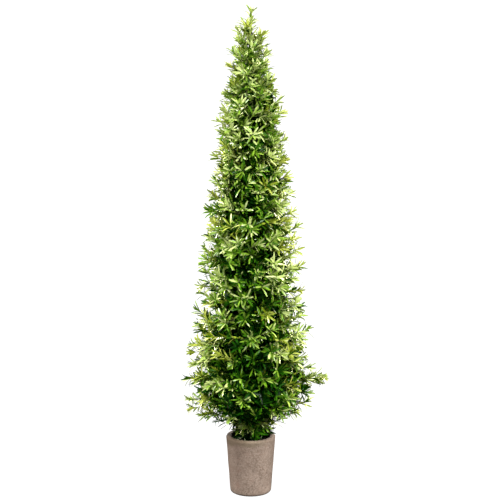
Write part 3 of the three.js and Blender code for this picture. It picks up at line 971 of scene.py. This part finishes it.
def leaf_seats(shoot, dealt):
    """A shoot's leaves: place, stem heading, turn round the stem, spread from it, width, length and arch."""
    root, knee, tip = shoot["curve"]
    stem_length = np.linalg.norm(tip - root)
    rows = []
    turn = dealt.uniform(0, 2 * math.pi)
    opening = dealt.uniform(*OPENING)
    for i in range(STEM_LEAVES + ROSETTE_LEAVES):
        in_rosette = i >= STEM_LEAVES
        order = (i - STEM_LEAVES) / ROSETTE_LEAVES if in_rosette else i / STEM_LEAVES
        if in_rosette:
            back = ROSETTE_DEPTH * (1 - order)
            spread = math.radians(ROSETTE_SPREAD - ROSETTE_CLOSING * order)
            size = 1.0 - ROSETTE_SHRINKING * order
        else:
            back = ROSETTE_DEPTH + STEM_LEAF_GAP * (STEM_LEAVES - i)
            spread = math.radians(STEM_SPREAD - STEM_CLOSING * order)
            size = STEM_LEAF_SIZE
        share = 1 - back / max(stem_length, back + STEM_ROOM)
        place = bend(root, knee, tip, share)
        heading = (1 - share) * (knee - root) + share * (tip - knee)
        heading /= np.linalg.norm(heading)
        turn += GOLDEN_ANGLE
        spread *= opening * (1 - TOP_CLOSING * nearness_to_top(place[2]))
        spread += dealt.normal(0, SPREAD_JITTER)
        length = size * dealt.uniform(*LENGTH_RANGE)
        width = size * dealt.uniform(*WIDTH_RANGE)
        arch = dealt.uniform(*ARCH_RANGE)
        rows.append((*place, *heading, turn + dealt.normal(0, TURN_JITTER), spread, width, length, arch))
    return np.array(rows)


def leaf_tree():
    """Strap leaves on their seats: each blade is bent from a grid, then turned to its stem."""
    sizes = dict.fromkeys(("Length", "Width", "Arch", "Keel"), "Float")
    tree, given = new_growth("strap_leaves", Seats="Geometry", **sizes, Finish="Material")

    def maths(operation, *values):
        return add_node(tree, "ShaderNodeMath", dict(enumerate(values)), operation=operation).outputs[0]

    def kept(name, kind="FLOAT"):
        named = add_node(tree, "GeometryNodeInputNamedAttribute", {"Name": name}, data_type=kind)
        return named.outputs["Attribute"]

    cut = {"Size X": 1, "Size Y": 1, "Vertices X": 3, "Vertices Y": 5}
    sheet = add_node(tree, "GeometryNodeMeshGrid", cut)
    spot = add_node(tree, "GeometryNodeInputPosition").outputs[0]
    flat = add_node(tree, "ShaderNodeSeparateXYZ", {0: spot})
    along = maths("ADD", flat.outputs["Y"], 0.5)
    outline = add_node(tree, "ShaderNodeFloatCurve", {"Value": along})
    curve = outline.mapping.curves[0]
    curve.points[0].location = LEAF_OUTLINE[0]
    curve.points[1].location = LEAF_OUTLINE[-1]
    for point in LEAF_OUTLINE[1:-1]:
        curve.points.new(*point)
    outline.mapping.update()
    width = maths("MULTIPLY", outline.outputs[0], given["Width"])
    across = maths("MULTIPLY", flat.outputs["X"], width)
    lift = maths("MULTIPLY", maths("ABSOLUTE", across), given["Keel"])
    sag_at_tip = maths("MULTIPLY", given["Arch"], given["Length"])
    sag = maths("MULTIPLY", maths("MULTIPLY", along, along), sag_at_tip)
    bent = {"X": across, "Y": maths("MULTIPLY", along, given["Length"]), "Z": maths("SUBTRACT", lift, sag)}
    place = add_node(tree, "ShaderNodeCombineXYZ", bent).outputs[0]
    blade = add_node(tree, "GeometryNodeSetPosition", {"Geometry": sheet.outputs[0], "Position": place})
    to_stem = add_node(
        tree, "FunctionNodeAlignRotationToVector", {"Vector": kept("heading", "FLOAT_VECTOR")}, axis="Z"
    ).outputs[0]
    turn = add_node(
        tree, "FunctionNodeAxisAngleToRotation", {"Axis": (0, 0, 1), "Angle": kept("turn")}
    ).outputs[0]
    lean = add_node(
        tree,
        "FunctionNodeAxisAngleToRotation",
        {"Axis": (1, 0, 0), "Angle": maths("SUBTRACT", math.pi / 2, kept("spread"))},
    ).outputs[0]
    turned_leaf = add_node(
        tree, "FunctionNodeRotateRotation", {0: to_stem, 1: turn}, rotation_space="LOCAL"
    ).outputs[0]
    leaned_leaf = add_node(
        tree, "FunctionNodeRotateRotation", {0: turned_leaf, 1: lean}, rotation_space="LOCAL"
    ).outputs[0]
    leaves = add_node(
        tree,
        "GeometryNodeInstanceOnPoints",
        {
            "Points": given["Seats"],
            "Instance": blade.outputs[0],
            "Rotation": leaned_leaf,
            "Scale": kept("blade", "FLOAT_VECTOR"),
        },
    )
    joined = add_node(tree, "GeometryNodeRealizeInstances", {0: leaves.outputs[0]}).outputs[0]
    smooth = add_node(tree, "GeometryNodeSetShadeSmooth", {"Geometry": joined}).outputs[0]
    finished = add_node(tree, "GeometryNodeSetMaterial", {"Geometry": smooth, "Material": given["Finish"]})
    add_node(tree, "NodeGroupOutput", {0: finished.outputs[0]})
    return tree


def leaf_finish(tint):
    brightness = min(1, TINTS[tint][1] / TINTS["yellow_green"][1])
    gloss = LEAST_GLOSS + (MOST_GLOSS - LEAST_GLOSS) * brightness**2
    return new_finish(tint + "_leaf", Base_Color=(*TINTS[tint], 1), Roughness=0.32, Specular_IOR_Level=gloss)


def seats_mesh(name, rows):
    """One vertex for each leaf's seat, with its heading, turn, spread and blade sizes kept at it."""
    place, heading, turn, spread, blade = np.split(rows, SEAT_COLUMNS, axis=1)
    mesh = bpy.data.meshes.new(name)
    mesh.from_pydata(place.tolist(), [], [])
    for kind, vectors in (("heading", heading), ("blade", blade)):
        mesh.attributes.new(kind, "FLOAT_VECTOR", "POINT").data.foreach_set("vector", vectors.ravel())
    for kind, values in (("turn", turn), ("spread", spread)):
        mesh.attributes.new(kind, "FLOAT", "POINT").data.foreach_set("value", values.ravel())
    return mesh


def deal_leaves(shoots, old_tone, young_tone, brightest, dealt, by_tint):
    """Deals a tone to each shoot, from 0 for the darkest tint up, and a darker one to its older leaves; the
    tone also carries painted light at the crown's sides and painted shade with depth and in the pot's mouth.
    """
    for shoot in shoots:
        tip = shoot["curve"][2]
        sideways = abs(tip[0]) / max(math.hypot(tip[0], tip[1]), NEAR_AXIS)
        # Higher shoots are younger; deeper ones darker, partly as painted shade; those at the sides brighter
        # as painted light
        young_and_lit = YOUNG_BY_HEIGHT * tip[2] / PLANT_HEIGHT + AGE_AND_SHADE_BY_DEPTH * (1 - min(1, shoot["depth"]))
        young_and_lit = np.clip(young_and_lit + EDGE_LIGHT_BY_SIDE * sideways - YOUNG_FROM, 0, 1)
        top = nearness_to_top(tip[2])
        top_tone = TOP_TONE * top if top < LEADER_FROM else LEADER_TONE
        tone = old_tone + (young_tone - old_tone) * young_and_lit + top_tone + dealt.normal(0, SHOOT_VARIATION)
        # Warm tints are dealt mostly at the crown's sides, partly as painted edge light
        sunned_and_edge_lit = dealt.random() < SUNNED_AND_EDGE_LIT_SHARE * (sideways**2 + SUNNED_AND_EDGE_LIT_AT_TOP * top)
        seats = leaf_seats(shoot, dealt)
        tones = tone - AGEING * np.linspace(1, 0, len(seats)) + dealt.normal(0, LEAF_VARIATION, len(seats))
        shades = np.clip(np.rint(tones), 0, brightest).astype(int)
        # Painted shade: leaves seated low in the pot's mouth get darker tints
        shades[seats[:, 2] < MOUTH_SHADE] //= MOUTH_DARKENING
        for shade in np.unique(shades):
            tint = SHADES[shade]
            by_tint[SUNNED_AND_EDGE_LIT.get(tint, tint) if sunned_and_edge_lit else tint].append(seats[shades == shade])


leaf_dealt = np.random.default_rng(SEED)
seats_by_tint = {tint: [] for tint in TINTS}
# Low neck shoots and inner shoots get dark tints as painted shade, the upper neck shoots pale ones as
# painted light
for shoots, *tones in (
    (outer_shoots, OLD_TONE, YOUNG_TONE, BRIGHTEST),
    (neck_shoots[:NECK_LOW_COUNT], NECK_LOW_SHADE_TONE, NECK_LOW_SHADE_TONE, BRIGHTEST_LOW_SHADED),
    (neck_shoots[NECK_LOW_COUNT:], NECK_LIGHT_TONE, NECK_LIGHT_TONE, BRIGHTEST),
    (inner_shoots, INNER_SHADE_TONE, INNER_SHADE_TONE, BRIGHTEST_INNER_SHADED),
):
    deal_leaves(shoots, *tones, leaf_dealt, seats_by_tint)
leaves = leaf_tree()
leaf_sizes = {"Length": LEAF_LENGTH, "Width": LEAF_WIDTH, "Arch": LEAF_ARCH, "Keel": LEAF_KEEL}
foliage_pieces = []
for tint, seats in seats_by_tint.items():
    finish = leaf_finish(tint)
    rows = np.vstack(seats)
    lots = math.ceil(len(rows) / MOST_LEAVES)
    for i, lot in enumerate(np.array_split(rows, lots)):
        name = tint if lots == 1 else f"{tint}_{i + 1}"
        foliage = grown("leaves_" + name, seats_mesh(name, lot), leaves, leaf_sizes | {"Finish": finish})
        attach(foliage, "root")
        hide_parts(*foliage_nodes)
        foliage_pieces.append(foliage)


# Stage: a plain white floor under studio light from both sides, and the light that the floor throws back.
# Two lamps behind brighten the edges of the leaves, and a third the back of the pot and the wood.
# The camera stands at eye height, a few metres back, and looks down a little.
FLOOR_SIZE = 400
FLOOR_DROP = 0.0004
CAMERA_PLACE = (-0.0025, -4.5, 1.6)
CAMERA_TILT = math.radians(10.38)
CAMERA_LENS = 106.85
CAMERA_SENSOR = 36
LAMP_SOFTNESS = math.radians(8)
RIM_WARMTH = (1, 0.92, 0.62)
SIDE_STRENGTH = 5.3
FRONT_STRENGTH = 1.3
FLOOR_STRENGTH = 0.6
RIM_STRENGTH = 7.4
BACK_STRENGTH = 5.0


def make_floor():
    half = FLOOR_SIZE / 2
    corners = [(-half, -half), (half, -half), (half, half), (-half, half)]
    mesh = bpy.data.meshes.new("floor")
    mesh.from_pydata([(x, y, -FLOOR_DROP) for x, y in corners], [], [(0, 1, 2, 3)])
    lit_white = {"Emission_Color": (1, 1, 1, 1), "Emission_Strength": 0.92}
    mesh.materials.append(new_finish("white_floor", Base_Color=(0.1, 0.1, 0.1, 1), Roughness=1, **lit_white))
    piece = bpy.data.objects.new("floor", mesh)
    piece.visible_diffuse = False
    piece.visible_glossy = False
    piece.visible_shadow = False
    bpy.context.scene.collection.objects.link(piece)
    return piece


def add_lamp(name, from_place, strength, colour=(1, 1, 1), lit=()):
    """A wide soft light that comes from the side of a place, on everything or only on some pieces."""
    lamp = bpy.data.lights.new(name, "SUN")
    lamp.energy = strength
    lamp.color = colour
    lamp.angle = LAMP_SOFTNESS
    stand = bpy.data.objects.new(name, lamp)
    stand.location = from_place
    stand.rotation_euler = Vector(from_place).to_track_quat("Z", "Y").to_euler()
    bpy.context.scene.collection.objects.link(stand)
    if lit:
        shown = bpy.data.collections.new(name + "_shown")
        for piece in lit:
            shown.objects.link(piece)
        stand.light_linking.receiver_collection = shown


def make_studio():
    """A white band at the horizon, and dim light from above and below."""
    world = bpy.data.worlds.new("studio")
    world.use_nodes = True
    tree = world.node_tree
    sky = add_node(tree, "ShaderNodeTexCoord").outputs["Generated"]
    height = add_node(tree, "ShaderNodeSeparateXYZ", {0: sky}).outputs["Z"]
    height = add_node(tree, "ShaderNodeMath", {0: height}, operation="ABSOLUTE").outputs[0]
    walls = {"Value": height, "From Min": 0.02, "From Max": 0.18, "To Min": 1.0, "To Max": 0.14}
    strength = add_node(tree, "ShaderNodeMapRange", walls).outputs["Result"]
    tree.links.new(strength, tree.nodes["Background"].inputs["Strength"])
    tree.nodes["Background"].inputs["Color"].default_value = (1, 1, 1, 1)
    world.cycles_visibility.glossy = False
    bpy.context.scene.world = world


make_floor()
add_lamp("key", (3.0, -2.0, 2.6), SIDE_STRENGTH)
add_lamp("fill", (-3.3, -0.8, 2.5), SIDE_STRENGTH)
add_lamp("front", (0.6, -3.6, 2.6), FRONT_STRENGTH)
add_lamp("floor_light", (-0.5, -2.2, -1.9), FLOOR_STRENGTH)
add_lamp("right_rim", (2.4, 2.4, 1.3), RIM_STRENGTH, RIM_WARMTH, foliage_pieces)
add_lamp("left_rim", (-2.4, 2.4, 1.3), RIM_STRENGTH, RIM_WARMTH, foliage_pieces)
add_lamp("back", (0, 3.6, 2.2), BACK_STRENGTH, lit=(pot, earth, crumbs, trunk, bough_wood, twig_wood))
make_studio()
bpy.context.scene.view_settings.view_transform = "Standard"

lens = bpy.data.cameras.new("camera")
lens.lens = CAMERA_LENS
lens.sensor_width = CAMERA_SENSOR
camera = bpy.data.objects.new("camera", lens)
camera.location = CAMERA_PLACE
camera.rotation_euler = (math.pi / 2 - CAMERA_TILT, 0, 0)
bpy.context.scene.collection.objects.link(camera)
bpy.context.scene.camera = camera
